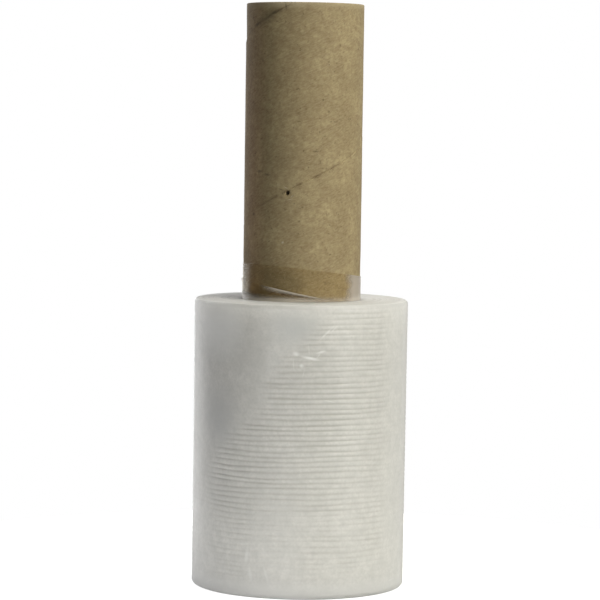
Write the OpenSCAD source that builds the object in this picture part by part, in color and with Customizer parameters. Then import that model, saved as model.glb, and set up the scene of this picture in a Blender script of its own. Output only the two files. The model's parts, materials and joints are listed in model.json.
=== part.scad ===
// Hand stretch wrap roll: clear film wound on the lower half of a spiral paperboard tube.
// The bare upper half of the tube is the handle. The roll stands on its foot, on the XY plane,
// with its axis on Z. Its front, where turns are counted from, faces -Y.

/* [Core tube] */
// Bore of the paperboard tube
core_bore = 35; // [25:0.5:76]
// Thickness of the tube's wall, all plies together
core_wall = 2.9; // [2:0.1:6]
// Length of bare tube above the film, which is the handle
handle_length = 102; // [60:1:150]
// Number of board plies in the wall
ply_count = 7; // [5:1:12]
// Rounding of the two cut rims
rim_round = 0.4; // [0.2:0.05:0.8]
// Depth of the fine line that each glued ply leaves on a cut end
ply_line = 0.12; // [0.05:0.01:0.3]

/* [Spiral joints] */
// Rise of a spiral joint in one turn round the tube
seam_lead = 63; // [45:1:100]
// Where the outer ply's joint leaves the foot, in degrees from the front
seam_turn = -83.4; // [-180:0.1:180]
// Open width of the outer ply's joint, measured square to it
seam_gap = 0.5; // [0.2:0.05:1.2]
// How far round the tube the next ply's joint lies ahead of the outer one, in degrees
buried_turn = 129; // [60:1:300]
// Width of the sunken line that the next ply's joint leaves in the outer ply
buried_gap = 1.2; // [0.4:0.1:2.5]
// Depth of that sunken line
buried_depth = 0.12; // [0.06:0.01:0.3]
// Open width of the liner's joint inside the bore, measured square to it
liner_gap = 0.5; // [0.2:0.05:1.2]
// How far round the tube the liner's joint lies ahead of the outer one, in degrees
liner_turn = 210; // [0:1:359]
// Height of the nick in the lip of the outer joint
nick_height = 137.2; // [115:0.1:150]
// Width of the nick
nick_width = 1.1; // [0.6:0.1:2]

/* [Wound film] */
// Width of the film, which is the height of the wound roll
film_width = 100; // [75:1:150]
// Thickness of the wound film, from the tube out to the ridges
film_build = 16.8; // [8:0.1:40]
// How far the tight film presses into the tube's wall
film_bite = 0.05; // [0.02:0.01:0.15]
// Height above the film over which the pressed-in wall comes back to its full size
bite_fade = 3; // [1:0.5:8]
// How much the roll's radius shrinks from its upper end to its foot
roll_taper = 0.3; // [0:0.05:1]
// Spacing of the ridges round the roll
ridge_pitch = 1.8; // [1.2:0.05:3]
// Height of the tallest ridges
ridge_height = 0.18; // [0.06:0.01:0.3]
// Height above the foot over which the ridges grow to full size
ridge_fade = 24; // [8:1:40]
// Width of the bands of turns seen on the roll's ends
band_width = 1; // [0.8:0.1:3]
// Most that a band of turns sinks below its neighbours on the upper end
band_sink = 0.3; // [0.1:0.05:0.6]
// Depth of the lines between one band and the next
band_line = 0.15; // [0.05:0.01:0.4]
// Rounding of the roll's upper rim
upper_round = 0.9; // [0.4:0.1:2]
// Rounding of the roll's lower rim
lower_round = 1.6; // [0.4:0.1:3]

/* [Loose end] */
// How far the last turn stands proud of the ridges at its torn end
end_lift = 0.16; // [0.08:0.01:0.4]
// Direction in which the middle of the torn end lies, in degrees from the front
end_turn = -16; // [-60:1:60]
// Height of the middle of the torn end
end_height = 69; // [40:1:75]
// Slope of the torn end, in degrees from upright
end_slope = 42; // [10:1:60]

/* [Lead-in collar] */
// Height to which the first turns stand up the tube above the roll, at their middle
collar_height = 9.9; // [4:0.1:25]
// Thickness of these turns on the tube
collar_wall = 0.25; // [0.1:0.05:0.5]
// Slope of their upper edge, in degrees
collar_slope = 7; // [0:0.1:10]
// Direction in which this edge climbs, in degrees from the front
collar_turn = -55; // [-180:1:180]
// Height above the roll at which the edge of the second lap crosses the front
lap_height = 2.6; // [1:0.1:8]
// Slope of the second lap's edge, in degrees
lap_slope = 11.4; // [0:0.1:12]
// Direction in which the second lap's edge climbs, in degrees from the front
lap_turn = -90; // [-180:1:180]

/* [Hidden] */
$fn = 144;

kraft = "#9c8762";
clear_film = "#d9d8d2";

core_r = core_bore/2 + core_wall;
core_length = film_width + handle_length;
ply = core_wall/ply_count;
bed_r = core_r - film_bite;           // radius on which the film lies
roll_r = core_r + film_build;

cut = 1;                              // how far a cutter reaches past the face that it opens
turns_up = core_length/seam_lead;     // turns of a joint from foot to rim
covered = film_width + collar_height + core_r*tan(collar_slope);  // height of the collar's highest point
joint_step = 9;                       // degrees of a joint between two of its sections
seam_pitch_angle = atan(seam_lead/(2*PI*core_r));
arc_steps = 6;                        // edges in each rounded rim of the profiles
ridge_steps = 4;                      // edges in each ridge of the profile
ridge_spread = 0.3;                   // share by which a ridge is taller or lower than the middling one
ridge_shift = 137;                    // degrees of the sine between one ridge's height and the next one's
band_shift = 100;                     // degrees of the sine between one band's level and the next one's

function arc(cx, cz, r, from, to) =
    [for (i = [0:arc_steps]) let (a = from + (to - from)*i/arc_steps) [cx + r*cos(a), cz + r*sin(a)]];

// Profile of the tube's wall, with rounded rims and a fine notch at each glue line of both ends.
// As far up as the film covers it the wall is pressed in, and just above it swells back.
function ply_notch(i, z, inward) =
    let (r = core_bore/2 + i*ply, w = ply_line/2)
    inward > 0
        ? [[r - w, z], [r, z + ply_line], [r + w, z]]
        : [[r + w, z], [r, z - ply_line], [r - w, z]];

function tube_profile() = concat(
    arc(core_bore/2 + rim_round, rim_round, rim_round, 180, 270),
    [for (i = [2:ply_count - 2]) each ply_notch(i, 0, 1)],
    arc(bed_r - rim_round, rim_round, rim_round, 270, 360),
    [[bed_r, covered], [core_r, covered + bite_fade]],
    arc(core_r - rim_round, core_length - rim_round, rim_round, 0, 90),
    [for (i = [ply_count - 2:-1:2]) each ply_notch(i, core_length, -1)],
    arc(core_bore/2 + rim_round, core_length - rim_round, rim_round, 90, 180));

// Cutter for a joint that climbs the wall: a narrow bar from radius r_in to r_out, twisted up the tube.
module joint_cutter(turn, gap, r_in, r_out) {
    width = gap/sin(seam_pitch_angle);
    over = cut/seam_lead*360;
    translate([0, 0, -cut])
        rotate(turn - 90 - over)
            linear_extrude(height = core_length + 2*cut, twist = -(turns_up*360 + 2*over),
                           slices = ceil((turns_up*360 + 2*over)/joint_step), segments = 4)
                translate([r_in, -width/2])
                    square([r_out - r_in, width]);
}

// Small hole torn in the lower lip of the outer joint, on the handle's front. It narrows downwards,
// and reaches through two plies.
module nick() {
    depth = 2.2*ply;
    half_gap = seam_gap/sin(seam_pitch_angle)/2;
    joint_at = seam_turn + 360*nick_height/seam_lead;
    below_joint = 3*half_gap/core_r*180/PI;
    module pit(drop, width)
        translate([0, 0, nick_height - drop])
            rotate(joint_at + below_joint - 90)
                translate([core_r - depth, 0, 0])
                    rotate([0, 90, 0])
                        cylinder(d = width, h = depth + cut, $fn = 24);
    pit(0, nick_width);
    pit(0.45*nick_width, 0.75*nick_width);
}

module core_tube() {
    color(kraft)
        difference() {
            rotate_extrude() polygon(tube_profile());
            joint_cutter(seam_turn, seam_gap, core_r - ply, core_r + cut);
            joint_cutter(seam_turn + buried_turn, buried_gap, core_r - buried_depth, core_r + cut);
            joint_cutter(seam_turn + liner_turn, liner_gap, core_bore/2 - cut, core_bore/2 + ply);
            nick();
        }
}

// Radius of the roll over its ridges, at a height above the foot.
function side_r(z) = roll_r - roll_taper*(1 - z/film_width);

// Ridges that the film's thick and thin lanes build up. They are rounded, with sharp valleys between
// them, no two are quite alike, and they fade out towards the foot.
function ridge_dip(ridge, t, z) =
    ridge_height*(1 - ridge_spread + ridge_spread*sin(ridge*ridge_shift))
        *min(1, z/ridge_fade)*pow(2*t - 1, 2);

function side_profile() =
    let (step = ridge_pitch/ridge_steps,
         first = ceil(lower_round/step),
         last = floor((film_width - upper_round)/step))
    [for (i = [first:last]) let (z = i*step)
        [side_r(z) - ridge_dip(floor(i/ridge_steps), (i%ridge_steps)/ridge_steps, z), z]];

// Both ends show the turns as bands with a fine line between one and the next. The foot is flat, and
// on the upper end each band stands a little above or below its neighbours.
bands = floor((film_build - upper_round)/band_width);
function band_top(i) = film_width - band_sink*(1 + sin(i*band_shift))/2;

function upper_end() =
    [for (i = [bands - 1:-1:1])
        let (r = core_r + i*band_width, w = band_line/2, low = min(band_top(i), band_top(i - 1)))
        each [[r + w, band_top(i)], [r, low - band_line], [r - w, band_top(i - 1)]]];

function foot() =
    [for (i = [1:bands - 1]) let (r = core_r + i*band_width, w = band_line/2) each
        [[r - w, 0], [r, band_line], [r + w, 0]]];

function film_profile() = concat(
    [[bed_r, 0]],
    foot(),
    arc(side_r(lower_round) - lower_round, lower_round, lower_round, 270, 350),
    side_profile(),
    arc(side_r(film_width - upper_round) - upper_round, film_width - upper_round, upper_round, 10, 90),
    upper_end(),
    [[bed_r, band_top(0)]]);

module wound_film() rotate_extrude() polygon(film_profile());

// The last turn of film. It rises out of the valleys between the ridges at the left, bridges them
// and ends in a slanting tear at the front.
module loose_end() {
    reach = 3*roll_r;
    low = lower_round;
    high = film_width - upper_round;
    intersection() {
        difference() {
            rotate(end_turn - 90)
                translate([end_lift + ridge_height, 0, low])
                    cylinder(r1 = side_r(low) - ridge_height, r2 = side_r(high) - ridge_height, h = high - low);
            cylinder(r = core_r + film_build/2, h = core_length);
        }
        rotate(end_turn - 90)
            translate([0, 0, end_height])
                rotate([-end_slope, 0, 0])
                    translate([0, -reach, -reach])
                        cube([reach, reach, 2*reach]);
    }
}

// A lap of film on the tube. Its upper edge slopes up towards the given turn from the front.
module lap(height, wall, slope, turn) {
    reach = 3*core_r;
    difference() {
        translate([0, 0, film_width/2])
            cylinder(r = core_r + wall, h = film_width/2 + height + core_r);
        translate([0, 0, -cut])
            cylinder(r = bed_r, h = core_length + 2*cut);
        translate([0, 0, film_width + height])
            rotate([0, -slope, turn - 90])
                translate([-reach, -reach, 0])
                    cube([2*reach, 2*reach, reach]);
    }
}

module lead_in_collar() {
    lap(collar_height, collar_wall, collar_slope, collar_turn);
    lap(lap_height, 2*collar_wall, lap_slope, lap_turn);
}

module film_roll() {
    color(clear_film)
        union() {
            wound_film();
            loose_end();
            lead_in_collar();
        }
}

core_tube();
film_roll();
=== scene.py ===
import json
import math

import bmesh
import bpy
from mathutils import Matrix, Vector, noise


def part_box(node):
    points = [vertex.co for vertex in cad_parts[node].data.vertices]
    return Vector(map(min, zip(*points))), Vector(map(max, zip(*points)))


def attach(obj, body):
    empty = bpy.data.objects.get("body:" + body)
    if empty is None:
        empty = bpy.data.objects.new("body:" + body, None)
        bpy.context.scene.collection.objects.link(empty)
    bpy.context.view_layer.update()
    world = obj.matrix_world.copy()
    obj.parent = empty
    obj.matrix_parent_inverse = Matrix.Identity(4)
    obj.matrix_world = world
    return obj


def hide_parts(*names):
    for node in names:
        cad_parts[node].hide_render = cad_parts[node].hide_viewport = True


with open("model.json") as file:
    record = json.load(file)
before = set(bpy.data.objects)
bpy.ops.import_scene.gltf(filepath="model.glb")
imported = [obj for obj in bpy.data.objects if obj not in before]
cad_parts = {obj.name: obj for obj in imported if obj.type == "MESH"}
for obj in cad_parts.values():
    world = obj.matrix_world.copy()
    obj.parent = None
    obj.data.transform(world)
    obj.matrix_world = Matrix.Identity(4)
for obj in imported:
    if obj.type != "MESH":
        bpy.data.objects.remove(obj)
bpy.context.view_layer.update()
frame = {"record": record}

# The tube is paperboard, wound on a slant from seven glued strips of brown board and cut to length with
# a knife. The edges of the outer strip meet in one spiral joint, and the strip under it leaves a faint
# second line. The film holds the lower half, and the bare upper half is the handle.
mm = 0.001
mounts = {mount["name"]: mount for mount in frame["record"]["mounts"]}
bore_r = mounts["core_bore"]["dims"]["r_mm"] * mm
tube_r = mounts["handle"]["dims"]["r_mm"] * mm
tube_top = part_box("core_tube")[1][2]
handle_foot = mounts["handle"]["pos_m"][2] - mounts["handle"]["dims"]["length_mm"] * mm / 2
rim = 0.4 * mm
ply_count = 7
board_ply = (tube_r - bore_r) / ply_count
glue_line = 0.12 * mm
# the joints: their rise in one turn, where the outer one leaves the foot, and how far ahead the others lie
joint_rise = 63 * mm
joint_foot = -83.4
buried_joint = 129
liner_joint = 210
# the film presses the wall in as far up as it covers it, and above that the wall swells back
pressed_in = 0.05 * mm
swells_back = 3 * mm
pressed_to = handle_foot - swells_back
# the small hole torn in the outer joint's lower lip
hole_turn = -15
hole_z = 137.1 * mm
hole_half_width = 0.54 * mm
hole_half_height = 0.88 * mm
hole_depth = 1.9 * mm

kraft_dark = (0.35, 0.275, 0.148)
kraft_light = (0.455, 0.365, 0.2)
kraft_blotch = (0.29, 0.21, 0.11)
pulp_brown = (0.245, 0.175, 0.09)
fibre_straw = (0.6, 0.51, 0.32)
speck_brown = (0.12, 0.085, 0.045)
shade_rosy_tint = (0.98, 0.83, 0.81)
grime_brown = (0.12, 0.08, 0.04)
darkening_brown = (0.15, 0.12, 0.065)
strip_end_brown = (0.17, 0.135, 0.08)
frayed_pulp = (0.62, 0.52, 0.34)
glue_brown = (0.17, 0.12, 0.06)
torn_pulp = (0.66, 0.6, 0.46)
shade_and_dirt_black = (0.035, 0.02, 0.012)

# marks on the board: degrees from the front and height of the middle, length, width and tilt
scuffs = ((-46.5, 144.3, 4.6, 1.3, 3), (-37.3, 143.2, 3.8, 1.2, -3), (28, 116.2, 1.3, 0.9, 20),
          (-19, 200.6, 0.9, 3.4, 12), (-21.5, 138.3, 2.6, 0.7, -14), (-9.4, 136.2, 1.3, 0.5, 50),
          (-31.6, 198.4, 5.0, 1.8, 20), (-54, 194.4, 4.0, 1.8, 20), (-55.6, 129.5, 2.6, 1.5, 0),
          (12, 151.4, 3.0, 0.9, 0))
torn_fibres = ((-10.4, 136.0, 2.0, 0.35, 40), (-12.5, 134.9, 2.6, 0.35, 12), (-16.5, 138.9, 2.2, 0.4, -25))


def soft_step(low, high, x):
    """0 below low, 1 above high, and a smooth rise between them."""
    t = min(1, max(0, (x - low) / (high - low)))
    return t * t * (3 - 2 * t)


def around(v):
    """Where a point lies on the object: distance from the axis, degrees from the front, height."""
    return math.hypot(v.co.x, v.co.y), math.degrees(math.atan2(v.co.x, -v.co.y)), v.co.z


def put(v, r, turn, z):
    """Moves a point to where those three say."""
    a = math.radians(turn)
    v.co = (r * math.sin(a), -r * math.cos(a), z)


def past_joint(turn, z):
    """Degrees that a point lies past the outer joint, to the right."""
    return turn - joint_foot - 360 * z / joint_rise


def draw_rings(bm, ring, r, stations):
    """Draws a ring of edges out through further rings, each given by its radius and height."""
    for to_r, to_z in stations:
        made = bmesh.ops.extrude_edge_only(bm, edges=ring)["geom"]
        new = {g for g in made if isinstance(g, bmesh.types.BMVert)}
        from_z = next(iter(new)).co.z
        bmesh.ops.scale(bm, vec=(to_r / r, to_r / r, 1), verts=list(new))
        bmesh.ops.translate(bm, vec=(0, 0, to_z - from_z), verts=list(new))
        ring = [g for g in made if isinstance(g, bmesh.types.BMEdge) and new.issuperset(g.verts)]
        r = to_r
    return ring


def wind_up(bm, ring, rise, steps):
    """Carries a ring of edges up the tube, turning as the joints do."""
    made = bmesh.ops.spin(bm, geom=ring, cent=(0, 0, 0), axis=(0, 0, 1), dvec=(0, 0, rise / steps),
                          angle=2 * math.pi * rise / joint_rise, steps=steps)["geom_last"]
    return [g for g in made if isinstance(g, bmesh.types.BMEdge)]


def cut_end(z, into):
    """Rings over a cut end from the bore outwards: rounded rims, and a fine groove at each glue line."""
    turn = [math.radians(d) for d in (30, 60, 90)]
    rings = [(bore_r + rim * (1 - math.cos(t)), z + into * rim * (1 - math.sin(t))) for t in turn]
    for line in range(2, ply_count - 1):
        r = bore_r + line * board_ply
        rings += [(r - glue_line / 2, z), (r, z + into * glue_line), (r + glue_line / 2, z)]
    rings += [(tube_r - rim * (1 - math.sin(t)), z + into * rim * (1 - math.cos(t))) for t in [0] + turn]
    return rings


# a ring of points round the bore, in runs of degrees and steps, with the finest steps beside the joints
ring_runs = ((2, 7), (9, 15), (13, 3), (123, 40), (135, 12), (204, 25), (216, 12), (347, 46), (358, 10),
             (360, 7))
merge_within = 0.01 * mm
tube = bmesh.new()
start = math.radians(joint_foot + 360 * rim / joint_rise)
last = bmesh.ops.create_vert(tube, co=(bore_r * math.sin(start), -bore_r * math.cos(start), rim))["vert"]
so_far = 0
for to_turn, steps in ring_runs:
    last = bmesh.ops.spin(tube, geom=last, cent=(0, 0, 0), axis=(0, 0, 1),
                          angle=math.radians(to_turn - so_far), steps=steps)["geom_last"]
    so_far = to_turn
bmesh.ops.remove_doubles(tube, verts=tube.verts, dist=merge_within)
bore_ring = tube.edges[:]

# the outer wall goes up in runs of mm and steps, with the finest steps where the hole is torn
climbs = ((104.6, 52), (29, 29), (7, 28), (60.6, 60))
outer_ring = draw_rings(tube, bore_ring, bore_r, cut_end(0, 1))
for rise, steps in climbs:
    outer_ring = wind_up(tube, outer_ring, rise * mm, steps)
upper_end = list(reversed(cut_end(tube_top, -1)))[1:] + [(bore_r, tube_top - rim)]
draw_rings(tube, outer_ring, tube_r, upper_end)
wind_up(tube, bore_ring, tube_top - 2 * rim, 96)
bmesh.ops.remove_doubles(tube, verts=tube.verts, dist=merge_within)
bmesh.ops.recalc_face_normals(tube, faces=tube.faces)

# coordinates along the outer strip and square to it, for the board's fibres
strip_slope = math.atan(joint_rise / (2 * math.pi * tube_r))
strip = tube.loops.layers.uv.new("strip")
for face in tube.faces:
    spots = []
    for loop in face.loops:
        r, turn, z = around(loop.vert)
        spots.append((loop, r, past_joint(turn, z) % 360, z))
    crosses = max(s[2] for s in spots) - min(s[2] for s in spots) > 180
    for loop, r, off, z in spots:
        arc = math.radians(off + 360 if crosses and off < 180 else off) * tube_r
        loop[strip].uv = (arc * math.cos(strip_slope) + z / math.sin(strip_slope),
                          r - tube_r - arc * math.sin(strip_slope))

for v in tube.verts:
    r, turn, z = around(v)
    h = z / mm
    off = (past_joint(turn, z) + 180) % 360 - 180
    outer = soft_step(tube_r - 1.2 * board_ply, tube_r - 0.4 * board_ply, r)
    inner = 1 - soft_step(bore_r + 0.4 * board_ply, bore_r + 1.2 * board_ply, r)
    uneven = noise.noise(v.co / (16 * mm)) * 0.05 * mm + noise.noise(v.co / (5 * mm)) * 0.015 * mm
    # the outer joint is a gap with its upper lip sunk, most of all at the left of the rim, and its lower
    # lip proud; it is almost shut at the left
    loose = soft_step(183, 190, h) * (1 - soft_step(-40, 20, turn)) * soft_step(-178, -140, turn)
    worn = 0.75 + 0.5 * noise.noise(Vector((h / 2.2, 0, 5)))
    tight = soft_step(-150, -110, turn) * (1 - soft_step(-24, -12, turn))
    gap = board_ply * 0.6 * worn * (1 - 0.7 * tight) * (1 - soft_step(0.4, 1.0 + 1.1 * worn, abs(off)))
    sunk = (0.05 + 0.2 * loose) * mm * math.exp(min(0, off) / (14 + 90 * loose)) if off < 0 else 0
    proud = 0.07 * mm * math.exp(-off / 6) if off > 0 else 0
    # the strip under it leaves a shallow dent
    dent = 0.05 * mm * math.exp(-((off - buried_joint) / 1.6) ** 2)
    # the torn hole leans, and the board is lifted in a ring round it
    above = z - hole_z
    across = math.radians(turn - hole_turn) * tube_r - above * 0.25
    into_hole = math.hypot(across / hole_half_width, above / hole_half_height)
    hole = hole_depth * (1 - soft_step(0.5, 1.1, into_hole))
    from_ring = math.hypot(across / mm - 0.5, above / mm + 0.6) - 1.7
    blister = 0.13 * mm * math.exp(-from_ring ** 2 / 0.2)
    press = pressed_in * (1 - soft_step(pressed_to, pressed_to + swells_back, z))
    r += outer * (uneven + proud + blister - gap - sunk - dent - hole - press)
    # the liner's joint is a plain groove in the bore
    liner_off = (off - liner_joint + 180) % 360 - 180
    r += inner * (uneven * 0.6 + board_ply * 0.8 * (1 - soft_step(1.0, 1.7, abs(liner_off))))
    put(v, r, turn, z)


def piece(bm, name):
    """Turns a finished mesh into a smooth object that rides on the body."""
    for face in bm.faces:
        face.smooth = True
    mesh = bpy.data.meshes.new(name)
    bm.to_mesh(mesh)
    bm.free()
    made = bpy.data.objects.new(name, mesh)
    bpy.context.scene.collection.objects.link(made)
    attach(made, "root")
    return made


def new_finish(name):
    """A material with its node tree, its main shader and its output."""
    made = bpy.data.materials.new(name)
    made.use_nodes = True
    tree = made.node_tree
    return made, tree, tree.nodes["Principled BSDF"], tree.nodes["Material Output"]


def add(tree, kind, inputs=None, **settings):
    """Adds a node. Inputs are plain values, or outputs of other nodes to join."""
    made = tree.nodes.new(kind)
    for key, value in settings.items():
        setattr(made, key, value)
    for key, value in (inputs or {}).items():
        if isinstance(value, bpy.types.NodeSocket):
            tree.links.new(value, made.inputs[key])
        else:
            made.inputs[key].default_value = value
    return made


def grain(tree, coords, size, detail=3.0, rough=0.5, stretch=(1, 1, 1)):
    """Noise whose blobs are about that size, in metres."""
    placed = add(tree, "ShaderNodeMapping", {"Vector": coords, "Scale": tuple(s / size for s in stretch)})
    return add(tree, "ShaderNodeTexNoise", {"Vector": placed.outputs[0], "Scale": 1.0, "Detail": detail,
                                            "Roughness": rough}).outputs["Fac"]


def spread(tree, value, low, high, to_low=0.0, to_high=1.0):
    """Stretches a value from one range to another, held at both ends."""
    return add(tree, "ShaderNodeMapRange", {"Value": value, "From Min": low, "From Max": high,
                                            "To Min": to_low, "To Max": to_high}).outputs[0]


def blend_colour(tree, share, first, second, mode="MIX"):
    """Blends one colour into another by that share."""
    made = add(tree, "ShaderNodeMix", data_type="RGBA", blend_type=mode)
    for key, value in ((0, share), (6, first), (7, second)):
        if isinstance(value, bpy.types.NodeSocket):
            tree.links.new(value, made.inputs[key])
        else:
            made.inputs[key].default_value = value if key == 0 else (*value, 1)
    return made.outputs[2]


def reckon(tree, what, *values):
    """One step of arithmetic on plain values or outputs of nodes."""
    made = add(tree, "ShaderNodeMath", operation=what)
    for key, value in enumerate(values):
        if isinstance(value, bpy.types.NodeSocket):
            tree.links.new(value, made.inputs[key])
        else:
            made.inputs[key].default_value = value
    return made.outputs[0]


def tint(tree, tone, where, share, colour, mode="MIX"):
    """Brings a colour in where a mask is, by that share at most."""
    return blend_colour(tree, reckon(tree, "MULTIPLY", where, share), tone, colour, mode)


def measures(tree, place):
    """Height above the foot, and distance from the axis."""
    height = add(tree, "ShaderNodeSeparateXYZ", {"Vector": place}).outputs["Z"]
    flat = add(tree, "ShaderNodeVectorMath", {0: place, 1: (1, 1, 0)}, operation="MULTIPLY").outputs[0]
    return height, add(tree, "ShaderNodeVectorMath", {0: flat}, operation="LENGTH").outputs["Value"]


def mark(tree, place, r, turn, z, length, width, tilt=0, soft=0.4):
    """A soft-edged oval mark on the side of a round piece, 1 in its middle and 0 outside. Its height,
    length, width and depth are in mm."""
    depth = 3
    a = math.radians(turn)
    sideways = Vector((math.cos(a), math.sin(a), 0))
    outwards = Vector((math.sin(a), -math.cos(a), 0))
    lie = Matrix((sideways, -outwards, (0, 0, 1))).transposed()
    lie = lie @ Matrix.Rotation(-math.radians(tilt), 3, "Y")
    spot = add(tree, "ShaderNodeMapping",
               {"Vector": place, "Location": outwards * r + Vector((0, 0, z * mm)),
                "Rotation": lie.to_euler(), "Scale": (length * mm / 2, depth * mm, width * mm / 2)},
               vector_type="TEXTURE")
    far = add(tree, "ShaderNodeVectorMath", {0: spot.outputs[0]}, operation="LENGTH").outputs["Value"]
    return spread(tree, far, soft, 1.0, 1.0, 0.0)


board, tree, skin, _ = new_finish("brown_paperboard")
along = add(tree, "ShaderNodeUVMap", uv_map="strip").outputs[0]
place = add(tree, "ShaderNodeTexCoord").outputs["Object"]
height, out_from_axis = measures(tree, place)
fibres = grain(tree, along, 0.5 * mm, 4, 0.6, (0.3, 1, 1))
pulp = grain(tree, place, 1.1 * mm, 3, 0.6)
cloud = grain(tree, place, 9 * mm, 2)
specks = grain(tree, place, 1.0 * mm, 1)
blotch = grain(tree, place, 3.2 * mm, 3, 0.55, (1, 1, 1.6))
tone = blend_colour(tree, spread(tree, cloud, 0.35, 0.65), kraft_dark, kraft_light)
tone = blend_colour(tree, spread(tree, blotch, 0.38, 0.68, 0, 0.7), tone, kraft_blotch)
tone = blend_colour(tree, spread(tree, pulp, 0.38, 0.7, 0, 0.6), tone, pulp_brown)
tone = blend_colour(tree, spread(tree, fibres, 0.42, 0.75, 0, 0.4), tone, fibre_straw)
tone = blend_colour(tree, spread(tree, specks, 0.66, 0.78, 0, 0.55), tone, speck_brown)
# the board is painted redder at the left, the warm cast of its shaded side, and in a painted shadow band
# under the film's fold, and grime has settled in the joint
at_left = mark(tree, place, tube_r, -66, 150, 46, 280, 0, 0.15)
painted_shade_cast = reckon(tree, "MAXIMUM", at_left, mark(tree, place, tube_r, -12, 102.2, 24, 2.6, -9, 0.3))
tone = tint(tree, tone, painted_shade_cast, 0.8, shade_rosy_tint, "MULTIPLY")
square = add(tree, "ShaderNodeSeparateXYZ", {"Vector": along}).outputs["Y"]
strip_width = 2 * math.pi * tube_r * math.sin(strip_slope)
from_joint = reckon(tree, "MINIMUM", reckon(tree, "ABSOLUTE", square),
                    reckon(tree, "ABSOLUTE", reckon(tree, "ADD", square, strip_width)))
grime = reckon(tree, "MULTIPLY", spread(tree, from_joint, 0.05 * mm, 0.85 * mm, 0.42, 0.0),
               spread(tree, blotch, 0.4, 0.6, 0.15, 1.0))
grime = reckon(tree, "MULTIPLY", grime, spread(tree, at_left, 0, 0.6, 1, 0.3))
tone = blend_colour(tree, grime, tone, grime_brown)
# painted shade darkens it just above the roll, under the collar, and it is faintly darker up the middle of
# the handle
shade_above_roll = mark(tree, place, tube_r, -20, 106.6, 36, 11, -6, 0.4)
faint = reckon(tree, "MULTIPLY", mark(tree, place, tube_r, -24, 146, 34, 66, 0, 0.2), 0.5)
tone = tint(tree, tone, reckon(tree, "MAXIMUM", shade_above_roll, faint), 0.4, darkening_brown)
# the strip's end at the left of the rim is darker, and the cut rim is frayed pale, most of all at the left
tone = tint(tree, tone, mark(tree, place, tube_r, -40, 196.6, 15, 5.5, 24, 0.1), 0.5, strip_end_brown)
frayed = reckon(tree, "MULTIPLY", spread(tree, height, tube_top - 2.6 * mm, tube_top - 0.6 * mm),
                spread(tree, pulp, 0.3, 0.6, 0.4, 0.7))
rim_left = mark(tree, place, tube_r, -25, 201, 44, 8, 0, 0.2)
frayed = reckon(tree, "MULTIPLY", frayed, spread(tree, rim_left, 0, 1, 0.5, 1.2))
tone = blend_colour(tree, frayed, tone, frayed_pulp)
# the cut ends show the plies, with a dark line of glue between one and the next
in_plies = reckon(tree, "DIVIDE", reckon(tree, "SUBTRACT", out_from_axis, bore_r), board_ply)
from_glue = reckon(tree, "PINGPONG", in_plies, 0.5)
on_end = reckon(tree, "MAXIMUM", spread(tree, height, tube_top - 0.25 * mm, tube_top - 0.1 * mm),
                spread(tree, height, 0.1 * mm, 0.25 * mm, 1.0, 0.0))
glue = reckon(tree, "MULTIPLY", on_end, spread(tree, from_glue, 0.08, 0.24, 0.7, 0.0))
glue = reckon(tree, "MULTIPLY", glue, spread(tree, blotch, 0.35, 0.6, 0.4, 1.0))
tone = blend_colour(tree, glue, tone, glue_brown)
# painted shade in the torn hole, dark dirt in a few scuffs and specks, a pale fleck of pulp, and pale torn
# fibres round the hole
hole_shade_and_dirt = mark(tree, place, tube_r, hole_turn, hole_z / mm, 1.25, 2.1, 0, 0.45)
for spot in scuffs:
    scuff = reckon(tree, "MULTIPLY", mark(tree, place, tube_r, *spot, 0.1), 0.5)
    hole_shade_and_dirt = reckon(tree, "MAXIMUM", hole_shade_and_dirt, scuff)
pale = mark(tree, place, tube_r, -19.1, 120.2, 1.2, 0.9, 30)
for spot in torn_fibres:
    pale = reckon(tree, "MAXIMUM", pale, mark(tree, place, tube_r, *spot, 0.1))
tone = tint(tree, tone, pale, 0.55, torn_pulp)
tone = blend_colour(tree, hole_shade_and_dirt, tone, shade_and_dirt_black)
tree.links.new(tone, skin.inputs["Base Color"])
relief = reckon(tree, "ADD", fibres, reckon(tree, "MULTIPLY", pulp, 1.2))
bump = add(tree, "ShaderNodeBump", {"Height": relief, "Strength": 0.5, "Distance": 0.12 * mm})
tree.links.new(bump.outputs[0], skin.inputs["Normal"])
skin.inputs["Roughness"].default_value = 0.75
skin.inputs["Specular IOR Level"].default_value = 0.35

paper_tube = piece(tube, "paper_tube")
paper_tube.data.materials.append(board)
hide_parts("core_tube")

# The roll is one long sheet of clear stretch film, wound tight. It looks milky where it lies thick. Its
# thick and thin lanes build up into ridges round the side, its edges show as bands on both ends, and the
# smooth last turn bridges the ridges at the upper left.
film_top = 100 * mm
film_build = 16.8 * mm
roll_taper = 0.3 * mm
upper_round = 1.5 * mm
lower_round = 1.6 * mm
bed_r = tube_r - pressed_in
side_top_r = tube_r + film_build
side_foot_r = side_top_r - roll_taper
ridge_pitch = 1.8 * mm
ridge_height = 0.25 * mm
band_width = 1 * mm
foot_bulge = 0.25 * mm
# degrees of the sine between one ridge's height and the next one's, and likewise for the bands' levels
ridge_shift = 137
band_shift = 100

milk_dark = (0.732, 0.722, 0.703)
milk_light = (0.792, 0.781, 0.758)
grey_patch = (0.6, 0.6, 0.58)
foot_light_white = (0.97, 0.965, 0.95)
end_pale_and_lit = (0.92, 0.915, 0.9)
ring_grey = (0.56, 0.55, 0.525)
shoulder_light_white = (0.93, 0.93, 0.92)
smooth_grey = (0.6, 0.61, 0.61)
cool_grey = (0.6, 0.605, 0.61)
rim_shade_grey = (0.5, 0.495, 0.48)
contact_shadow_grey = (0.33, 0.33, 0.32)
groove_shade_grey = (0.45, 0.44, 0.41)
crease_highlight_white = (0.98, 0.98, 0.97)

# where the smooth last turn ends, as height and degrees from the front
tear = ((22, -110), (38, -64), (48, -48), (54, -38), (59, -28), (64, -18), (74, -15), (79, -9), (88, 3),
        (93, 12), (100, 22))
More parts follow.
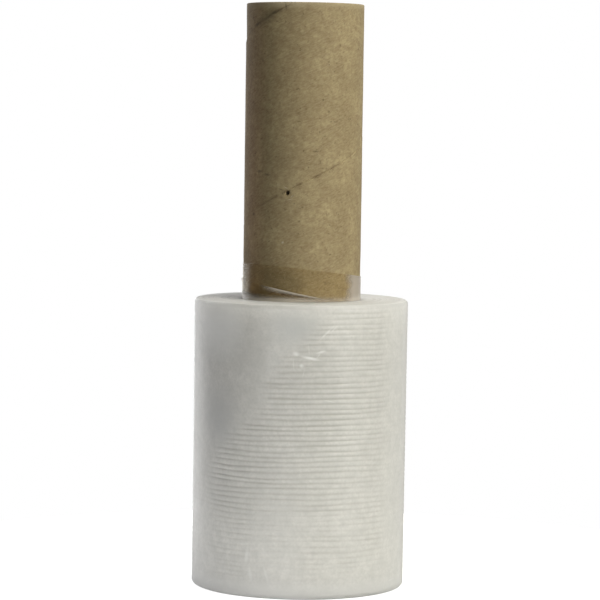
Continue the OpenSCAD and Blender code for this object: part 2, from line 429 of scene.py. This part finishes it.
# patches of the side whose grooves get more or less painted shade: degrees from the front and height of
# the middle, how far the patch reaches in both, and the change
patches = ((16, 63, 14, 9, 0.35), (20, 91, 10, 6, -0.5), (42, 82, 9, 10, 0.7), (-44, 46, 8, 9, -0.4),
           (20, 31, 25, 3, -0.3))
# creases: degrees from the front and height of the middle, length, width, tilt and strength
creases = (
    (4.9, 82.2, 8.0, 1.4, -11, 1.0), (-2.4, 83.6, 2.8, 1.9, -20, 0.9), (10.9, 84.3, 4.2, 1.1, 17, 0.7),
    (0.6, 79.6, 1.9, 1.7, 0, 0.8), (4.3, 85.0, 0.6, 4.6, 4, 0.35), (-3.6, 80.2, 0.6, 5.0, 2, 0.35),
    (1.6, 76.9, 0.5, 4.2, -12, 0.3), (9.4, 83.0, 3.2, 0.5, 52, 0.4), (13.5, 90.6, 8.6, 0.9, 44, 0.55),
    (15.8, 67.6, 5.0, 0.5, -12, 0.45), (17.6, 92.0, 4.2, 0.7, 48, 0.5), (-5.2, 75.2, 3.0, 0.4, -30, 0.25),
    (-28.1, 14.3, 1.8, 7.5, -6, 0.4), (-25.9, 8.4, 1.9, 6.5, 10, 0.4), (-17.0, 8.6, 1.3, 7.0, 18, 0.3),
    (-30.0, 18.2, 5.0, 1.3, 6, 0.3), (-55.0, 3.8, 5.0, 0.9, 18, 0.3), (61.0, 4.4, 6.0, 0.8, 6, 0.3))


def side_r(z):
    """Radius of the side over its ridges, at a height above the foot."""
    return side_foot_r + (side_top_r - side_foot_r) * z / film_top


def draw_to(bm, v, r, z, pieces):
    """Draws the outline on in a straight run of equal pieces."""
    start = v.co.copy()
    for i in range(pieces):
        v = bmesh.ops.extrude_vert_indiv(bm, verts=[v])["verts"][0]
        v.co = start.lerp(Vector((r, 0, z)), (i + 1) / pieces)
    return v


def round_over(bm, v, r, z, degrees, pieces):
    """Draws the outline on round a corner with that centre."""
    made = bmesh.ops.spin(bm, geom=[v], cent=(r, 0, z), axis=(0, -1, 0), angle=math.radians(degrees),
                          steps=pieces)
    return next(g for g in made["geom_last"] if isinstance(g, bmesh.types.BMVert))


def tear_turn(h):
    """Degrees from the front at which the last turn ends, at a height in mm."""
    for (h0, t0), (h1, t1) in zip(tear, tear[1:]):
        if h <= h1:
            return t0 + (t1 - t0) * (h - h0) / (h1 - h0)
    return tear[-1][1]


def bridged(turn, h):
    """1 where the smooth last turn bridges the ridges, 0 where they are bare."""
    if turn >= 60:
        return 0
    edge = tear_turn(h) - 2 + 7 * noise.noise(Vector((0, 0, h / 3)))
    return soft_step(-5, 5, edge - turn) * soft_step(-175, -110, turn)


def ridge_share(co, turn, h, number):
    """How tall a ridge stands: no two are alike, and they are patchy at the foot and fade at the sides."""
    tall = 0.8 + 0.5 * noise.noise(Vector((co.x / 16 / mm, co.y / 16 / mm, number * 3.7)))
    tall *= 0.85 + 0.15 * math.sin(math.radians(number * ridge_shift))
    tall *= 0.8 * soft_step(3, 12, h) + 0.6 * soft_step(15, 50, h) - 0.4 * soft_step(66, 80, h)
    if h < 30:
        tall *= 0.5 + 0.5 * soft_step(-0.1, 0.25, noise.noise(co / (11 * mm)))
    faded = 0.85 if turn > 0 else 0.65
    return tall * (1 - faded * soft_step(45, 56, abs(turn)) * (1 - soft_step(75, 100, abs(turn))))


def groove_shade(turn, h):
    """How much painted shade the grooves get: more up the middle and at the lower right, and changed in
    patches.
    """
    centre = soft_step(-28, -12, turn) * (1 - soft_step(18, 34, turn)) * soft_step(28, 38, h)
    lower = soft_step(-10, 8, turn) * soft_step(8, 15, h) * (1 - soft_step(30, 38, h))
    change = sum(share * math.exp(-((turn - t0) / wide) ** 2 - ((h - h0) / tall) ** 2)
                 for t0, h0, wide, tall, share in patches)
    return 1 + 0.7 * centre + 0.9 * lower + change


def band_level(number):
    """Level of the line between two bands of turns on the upper end."""
    return math.sin(math.radians(number * band_shift))


# the outline goes down the wall by the tube, out along the foot, up the side, and in along the top
foot_steps = 30
side_steps = 480
top_steps = 68
steps_round = 160
merge_close = 0.002 * mm
roll = bmesh.new()
v = bmesh.ops.create_vert(roll, co=(bed_r, 0, film_top - 0.15 * mm))["vert"][0]
v = draw_to(roll, v, bed_r, 0, 3)
v = draw_to(roll, v, side_foot_r - lower_round, 0, foot_steps)
v = round_over(roll, v, side_foot_r - lower_round, lower_round, 90, 6)
v = draw_to(roll, v, side_top_r, film_top - upper_round, side_steps)
v = round_over(roll, v, side_top_r - upper_round, film_top - upper_round, 90, 5)
v = draw_to(roll, v, bed_r, film_top, top_steps)
bmesh.ops.spin(roll, geom=roll.verts[:] + roll.edges[:], cent=(0, 0, 0), axis=(0, 0, 1),
               angle=2 * math.pi, steps=steps_round, use_merge=True)
bmesh.ops.remove_doubles(roll, verts=roll.verts, dist=merge_close)
bmesh.ops.recalc_face_normals(roll, faces=roll.faces)

valley = roll.verts.layers.float.new("valley")
for v in roll.verts:
    r, turn, z = around(v)
    h = z / mm
    if r > side_r(z) - 0.3 * mm and lower_round < z < film_top - upper_round * 0.9:
        # the ridges, which waver a little, with sharp grooves between them, whose painted shade each point
        # keeps
        waver = noise.noise(Vector((v.co.x / 22, v.co.y / 22, v.co.z / 5)) / mm) * 0.28 \
            + noise.noise(Vector((v.co.x / 9, v.co.y / 9, v.co.z / 2.5)) / mm) * 0.08
        lane = h / (ridge_pitch / mm) + waver
        number = math.floor(lane)
        under = bridged(turn, h)
        low = (2 * (lane - number) - 1) ** 2 * ridge_share(v.co, turn, h, number) * (1 - 0.93 * under)
        v[valley] = low * groove_shade(turn, h)
        r -= ridge_height * low + 0.03 * mm * (1 - under)
        r += 0.035 * mm * (noise.noise(v.co / (24 * mm)) - 0.6)
    elif z > film_top - 0.5 * mm and r < side_top_r - upper_round:
        # bands of turns on the upper end, each a little above or below the next
        band = (r - bed_r) / band_width
        number = math.floor(band)
        t = band % 1
        level = band_level(number) * (1 - t) + band_level(number + 1) * t
        z -= 0.03 * mm * (1 + level) + 0.06 * mm * (1 - soft_step(0, 0.3, min(t, 1 - t)))
    elif z < 0.01 * mm and r < side_foot_r - lower_round:
        # fine lines between the bands on the flat foot
        t = (r - bed_r) / band_width % 1
        z += 0.1 * mm * (1 - soft_step(0, 0.2, min(t, 1 - t)))
    # the foot bulges a little at the left
    left = soft_step(0.3, 1, -math.sin(math.radians(turn))) * (1 - soft_step(12, 60, h))
    r += foot_bulge * left * soft_step(side_foot_r - lower_round, side_foot_r - 0.3 * mm, r)
    put(v, r, turn, z)

milk, tree, skin, _ = new_finish("wound_clear_film")
place = add(tree, "ShaderNodeTexCoord").outputs["Object"]
height, out_from_axis = measures(tree, place)
cloud = grain(tree, place, 14 * mm, 2)
patch = grain(tree, place, 3 * mm, 3)
fine = grain(tree, place, 0.9 * mm, 2)
tone = blend_colour(tree, spread(tree, cloud, 0.3, 0.7), milk_dark, milk_light)
tone = blend_colour(tree, spread(tree, patch, 0.35, 0.7, 0, 0.5), tone, grey_patch)
tone = blend_colour(tree, spread(tree, fine, 0.4, 0.7, 0, 0.4), tone, grey_patch)
# painted light: the film is whiter towards the foot, as if lit from the table top
tone = blend_colour(tree, spread(tree, height, 0.5 * mm, 6.5 * mm, 0.9, 0.0), tone, foot_light_white)
# both ends are pale, and painted light makes them paler still near the tube, lifting the shade there, and
# the edges of the turns show on them as fine rings
layers = add(tree, "ShaderNodeCombineXYZ",
             {"X": reckon(tree, "DIVIDE", out_from_axis, 0.45 * mm), "Y": cloud}).outputs[0]
ring = add(tree, "ShaderNodeTexNoise",
           {"Vector": layers, "Scale": 1.0, "Detail": 3.0, "Roughness": 0.6}).outputs["Fac"]
on_end = reckon(tree, "MAXIMUM", spread(tree, height, film_top - 0.4 * mm, film_top - 0.25 * mm),
                spread(tree, height, 0.1 * mm, 0.3 * mm, 1.0, 0.0))
lit_near_tube = spread(tree, out_from_axis, 22 * mm, 32 * mm, 0.75, 0.3)
tone = tint(tree, tone, on_end, lit_near_tube, end_pale_and_lit)
rings = reckon(tree, "MULTIPLY", on_end, spread(tree, ring, 0.4, 0.65, 0.0, 0.5))
rings = reckon(tree, "MULTIPLY", rings, spread(tree, out_from_axis, 21.5 * mm, 25 * mm, 0.2, 1.0))
tone = blend_colour(tree, rings, tone, ring_grey)
# painted light makes the smooth turn paler at the upper left, under the rim, and it is greyer in the
# middle and at the left
lit_shoulder = mark(tree, place, side_top_r, -48, 92, 34, 28, 0, 0.2)
tone = tint(tree, tone, lit_shoulder, 0.9, shoulder_light_white)
tone = tint(tree, tone, mark(tree, place, side_top_r, -3, 92.5, 24, 15, 0, 0.2), 0.7, smooth_grey)
tone = tint(tree, tone, mark(tree, place, side_top_r, -48, 60, 26, 28, 0, 0.1), 0.7, cool_grey)
# painted shade greys the rounded upper edge, toning down its highlight, and a painted contact shadow shows
# the lowest edge as a thin dark line where it meets the table
rim_shade = reckon(tree, "MULTIPLY", spread(tree, height, film_top - 1.7 * mm, film_top - 1.0 * mm),
                  spread(tree, height, film_top - 0.45 * mm, film_top - 0.15 * mm, 1.0, 0.0))
rim_shade = reckon(tree, "MULTIPLY", rim_shade, spread(tree, lit_shoulder, 0, 0.7, 0.5, 0.1))
tone = blend_colour(tree, rim_shade, tone, rim_shade_grey)
contact_shadow = reckon(tree, "MULTIPLY", spread(tree, height, 0.1 * mm, 0.45 * mm, 0.6, 0.0),
                spread(tree, out_from_axis, side_foot_r - 1.6 * mm, side_foot_r - 1.0 * mm))
tone = blend_colour(tree, contact_shadow, tone, contact_shadow_grey)
groove_shade_share = add(tree, "ShaderNodeAttribute", attribute_name="valley").outputs["Fac"]
# painted shade darkens the grooves between the ridges
tone = tint(tree, tone, groove_shade_share, 0.35, groove_shade_grey)
# white creases where the last turn was pulled, and pale soft crumples near the foot, both painted whiter
# still as highlights along their folds
crease = None
for turn, z, length, width, tilt, strength in creases:
    one = mark(tree, place, side_r(z * mm), turn, z, length, width, tilt, 0.2)
    one = reckon(tree, "MULTIPLY", one, strength)
    crease = one if crease is None else reckon(tree, "MAXIMUM", crease, one)
crease_highlight = reckon(tree, "MULTIPLY", crease, spread(tree, patch, 0.3, 0.6, 0.7, 1.0))
tone = blend_colour(tree, crease_highlight, tone, crease_highlight_white)
tree.links.new(tone, skin.inputs["Base Color"])
relief = reckon(tree, "ADD", reckon(tree, "MULTIPLY", fine, 0.5),
                reckon(tree, "ADD", patch, reckon(tree, "MULTIPLY", crease, 1.5)))
bump = add(tree, "ShaderNodeBump", {"Height": relief, "Strength": 0.3, "Distance": 0.1 * mm})
tree.links.new(bump.outputs[0], skin.inputs["Normal"])
# the ends are matt, because there the cut edges of the turns lie side by side
tree.links.new(spread(tree, on_end, 0, 1, 0.45, 0.65), skin.inputs["Roughness"])
tree.links.new(spread(tree, on_end, 0, 1, 0.25, 0.0), skin.inputs["Coat Weight"])
skin.inputs["IOR"].default_value = 1.5
skin.inputs["Coat Roughness"].default_value = 0.2
skin.inputs["Subsurface Weight"].default_value = 0.85
skin.inputs["Subsurface Radius"].default_value = (1.0, 1.0, 1.0)
skin.inputs["Subsurface Scale"].default_value = 26 * mm

wound_film = piece(roll, "wound_film")
wound_film.data.materials.append(milk)
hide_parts("film_roll")

# The collar is the film's first turns, which ran up the tube above the roll before the winding settled.
# It is thin and clear, clings to the paper, and shows as a pale rim where it is seen edge on, which at its
# sides is a painted sheen. The second lap ends lower, in a white fold with a painted highlight along it.
collar_wall = 0.12 * mm
tucked_in = 1.5 * mm
shortest = 0.4 * mm
# for each lap: inner radius, height of its edge above the roll, the edge's slope, the direction in which
# it climbs, and how much its edge is thickened
laps = ((tube_r + 0.06 * mm, 9.9 * mm, 7, -55, 0.03 * mm),
        (tube_r + 0.2 * mm, 2.6 * mm, 11.4, -90, 0.17 * mm))
pale_film_and_light = (0.65, 0.59, 0.525)
clear_tint = (0.95, 0.935, 0.9)


def lap_edge(turn, rise, slope, towards):
    """Height of a lap's slanting upper edge."""
    climb = math.tan(math.radians(slope)) * math.cos(math.radians(turn - towards))
    return film_top + rise + tube_r * climb


def haze_and_sheen_at(turn, z):
    """How milky the collar is painted: hardly at the front, more at the sides as a painted sheen where
    they are seen edge on, and where its foot flares out, most at the left as painted light.
    """
    above = (z - film_top) / mm
    drift = turn + 5 * noise.noise(Vector((3, z / mm / 2.5, turn / 20)))
    edge_on_sheen = 0.2 * (1 - soft_step(-82, -66, drift)) + 0.4 * soft_step(46, 61, drift)
    higher = 1.5 * (1 - soft_step(-75, -40, turn))
    foot_haze_and_light = (0.65 - 0.5 * soft_step(-20, 25, turn)) * (1 - soft_step(0.2, 1.7 + higher, above))
    foot_haze_and_light += 0.3 * (1 - soft_step(-60, -20, turn)) * (1 - soft_step(0, 0.6, above))
    foot_haze_and_light += 0.1 * (1 - soft_step(0.5, 2.4, above))
    return 0.01 + edge_on_sheen + foot_haze_and_light


steps_up = 16
steps_round = 180
collar = bmesh.new()
fold_highlight_layer = collar.verts.layers.float.new("folded")
milky = collar.verts.layers.float.new("milky")
for lap, (inner_r, rise, slope, towards, bead) in enumerate(laps):
    # a plain ring first, with heights from 0 to 1
    before = set(collar.verts)
    v = bmesh.ops.create_vert(collar, co=(inner_r, 0, 0))["vert"][0]
    v = draw_to(collar, v, inner_r + collar_wall, 0, 1)
    v = draw_to(collar, v, inner_r + collar_wall, 1, steps_up)
    v = draw_to(collar, v, inner_r, 1, 2)
    v = draw_to(collar, v, inner_r, 0, steps_up)
    lap_verts = [w for w in collar.verts if w not in before]
    lap_edges = [e for e in collar.edges if e.verts[0] not in before]
    bmesh.ops.spin(collar, geom=lap_verts + lap_edges, cent=(0, 0, 0), axis=(0, 0, 1),
                   angle=2 * math.pi, steps=steps_round, use_merge=True)
    bmesh.ops.remove_doubles(collar, verts=collar.verts, dist=merge_close)
    for w in collar.verts:
        if w in before:
            continue
        # then it is stretched to its slanting edge, which is thickened by the fold
        r, turn, share = around(w)
        low = film_top - tucked_in
        top = max(lap_edge(turn, rise, slope, towards), low + shortest)
        z = low + (top - low) * share ** 0.6
        fold_width = (1.1 - 0.7 * soft_step(-45, 16, turn)) * mm if lap else 0.35 * mm
        fold = math.exp(-((top - z) / fold_width) ** 2)
        middle = inner_r + collar_wall / 2
        r = middle + (r - middle) * (1 + bead / collar_wall * 2 * fold) + 0.5 * bead * fold
        r += 0.02 * mm * noise.noise(Vector((turn / 9, z / mm / 3, lap)))
        # its foot flares out, most of all at the front left
        flared = (0.5 - 0.4 * soft_step(20, 60, abs(turn + 35))) * mm
        r += flared * (1 - soft_step(-0.2, 1.3, (z - film_top) / mm))
        # the fold's edge is kept for a painted highlight, and the haze for painted sheen and light
        w[fold_highlight_layer] = fold * lap * soft_step(-46, -20, turn) * (1 - soft_step(8, 24, turn))
        w[milky] = haze_and_sheen_at(turn, z)
        put(w, r, turn, z)
bmesh.ops.recalc_face_normals(collar, faces=collar.faces)

clear, tree, skin, out = new_finish("clear_film_edge")
edge_on = add(tree, "ShaderNodeLayerWeight", {"Blend": 0.5}).outputs["Facing"]
gloss_share = spread(tree, edge_on, 0.45, 0.95, 0.0, 0.08)
fold = add(tree, "ShaderNodeAttribute", attribute_name="folded").outputs["Fac"]
see_through = add(tree, "ShaderNodeBsdfTransparent", {"Color": (*clear_tint, 1)})
gloss = add(tree, "ShaderNodeBsdfGlossy", {"Color": (1, 1, 1, 1), "Roughness": 0.2})
film = add(tree, "ShaderNodeMixShader", {0: gloss_share, 1: see_through.outputs[0], 2: gloss.outputs[0]})
haze_and_sheen = add(tree, "ShaderNodeAttribute", attribute_name="milky").outputs["Fac"]
# the pale opaque film is painted in as the fold's highlight, as sheen at the sides and as light at the
# foot
pale_share = reckon(tree, "MAXIMUM", reckon(tree, "MULTIPLY", fold, 0.9), haze_and_sheen)
mixed = add(tree, "ShaderNodeMixShader", {0: pale_share, 1: film.outputs[0], 2: skin.outputs[0]})
tree.links.new(mixed.outputs[0], out.inputs["Surface"])
skin.inputs["Base Color"].default_value = (*pale_film_and_light, 1)
skin.inputs["Roughness"].default_value = 0.3

lead_in_collar = piece(collar, "lead_in_collar")
lead_in_collar.data.materials.append(clear)
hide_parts("film_roll")

# The floor is a white studio table top, a flat round sheet under the roll. It glows to the camera, so that
# it shows as plain white, and at the left it glows for the roll too, a painted light thrown back on it.
table_r = 180 * mm
table = bmesh.new()
bmesh.ops.create_circle(table, cap_ends=True, segments=96, radius=table_r)
white, tree, skin, _ = new_finish("white_table")
skin.inputs["Base Color"].default_value = (0.6, 0.6, 0.6, 1)
skin.inputs["Roughness"].default_value = 0.8
skin.inputs["Emission Color"].default_value = (1, 1, 1, 1)
place = add(tree, "ShaderNodeTexCoord").outputs["Object"]
away = add(tree, "ShaderNodeVectorMath", {0: place}, operation="LENGTH").outputs["Value"]
sideways = add(tree, "ShaderNodeSeparateXYZ", {"Vector": place}).outputs["X"]
to_camera = add(tree, "ShaderNodeLightPath").outputs["Is Camera Ray"]
plain_white = reckon(tree, "MULTIPLY", to_camera, spread(tree, away, 80 * mm, table_r, 0.8, 0.9))
left_glow = reckon(tree, "MULTIPLY", spread(tree, sideways, -20 * mm, 20 * mm, 0.54, 0.0),
                     spread(tree, away, 37 * mm, 50 * mm, 0.2, 1.0))
tree.links.new(reckon(tree, "ADD", plain_white, left_glow), skin.inputs["Emission Strength"])
mesh = bpy.data.meshes.new("table_top")
table.to_mesh(mesh)
table.free()
floor = bpy.data.objects.new("table_top", mesh)
bpy.context.scene.collection.objects.link(floor)
floor.data.materials.append(white)

# The light comes from tall soft windows at the right, and from white walls behind the roll that the
# film's sides mirror in narrow strips. A ceiling lights it from above, and a low fill and a small
# reflector from the front.
middle_of_roll = Vector((0, 0, 0.1))
lamp_distance = 1.0
ceiling_height = 1.1
pane_size = (0.3, 0.5)
wall_size = (0.3, 0.9)
ceiling_size = (0.5, 0.5)
reflector_size = (0.15, 0.06)
warm = (1, 0.985, 0.88)
# degrees from the front, power of the lower pane and power of the upper one
windows = ((25, 1.65, 1.55), (50, 4.7, 3.15), (75, 1.88, 1.88), (100, 0.05, 0.4))
# degrees from the front and power
walls = ((-168, 2.17), (-150, 1.13), (-136, 1.45), (-122, 0.88), (125, 0.8), (150, 0.78))


def soft_box(name, turn, distance, height, size, power, colour=(1, 1, 1)):
    """A soft rectangular lamp that faces the roll, and is seen only in what it lights."""
    lamp = bpy.data.lights.new(name, "AREA")
    lamp.shape = "RECTANGLE"
    lamp.size, lamp.size_y = size
    lamp.energy = power
    lamp.color = colour
    made = bpy.data.objects.new(name, lamp)
    a = math.radians(turn)
    made.location = (distance * math.sin(a), -distance * math.cos(a), height)
    made.rotation_euler = (middle_of_roll - made.location).to_track_quat("-Z", "Y").to_euler()
    made.visible_camera = False
    bpy.context.scene.collection.objects.link(made)


for turn, lower_pane, upper_pane in windows:
    soft_box(f"window_{turn}", turn, lamp_distance, 0.7, pane_size, lower_pane, warm)
    soft_box(f"window_{turn}_upper", turn, lamp_distance, 1.3, pane_size, upper_pane, warm)
soft_box("low_fill", 50, lamp_distance, 0.1, pane_size, 0.83)
soft_box("near_reflector", -20, 0.3, 0.04, reflector_size, 0.11)
for turn, power in walls:
    soft_box(f"wall_{turn % 360}", turn, lamp_distance, 0.3, wall_size, power)
soft_box("ceiling_right", 120, 0.35, ceiling_height, ceiling_size, 1.2)
soft_box("ceiling_back", 180, 0.35, ceiling_height, ceiling_size, 0.93)

# The room behind the table is a white studio. The camera sees it as plain white, and everywhere else
# it is almost dark, so that only the lamps and the table light the roll.
world = bpy.data.worlds.new("studio")
bpy.context.scene.world = world
world.use_nodes = True
room = world.node_tree
bright = room.nodes["Background"]
bright.inputs["Color"].default_value = (1, 1, 1, 1)
bright.inputs["Strength"].default_value = 1.0
dim = add(room, "ShaderNodeBackground", {"Color": (1, 1, 1, 1), "Strength": 0.004})
path = add(room, "ShaderNodeLightPath")
both = add(room, "ShaderNodeMixShader",
           {0: path.outputs["Is Camera Ray"], 1: dim.outputs[0], 2: bright.outputs[0]})
room.links.new(both.outputs[0], room.nodes["World Output"].inputs["Surface"])
bpy.context.scene.view_settings.view_transform = "Standard"

# The camera stands as the photographer did: a metre off with a long lens, a little above the middle of
# the handle and looking slightly down.
camera_distance = 0.9866
camera_height = 0.16521
turned_left = 0.0272
looks_down = 3.8202
leans = 0.8097
lens = bpy.data.cameras.new("camera")
lens.lens = 170.16
lens.sensor_width = 36
lens.clip_start = 0.05
camera = bpy.data.objects.new("camera", lens)
camera.matrix_world = Matrix.Translation((0, -camera_distance, camera_height)) \
    @ Matrix.Rotation(math.radians(turned_left), 4, "Z") \
    @ Matrix.Rotation(math.radians(90 - looks_down), 4, "X") \
    @ Matrix.Rotation(math.radians(leans), 4, "Z")
bpy.context.scene.collection.objects.link(camera)
bpy.context.scene.camera = camera
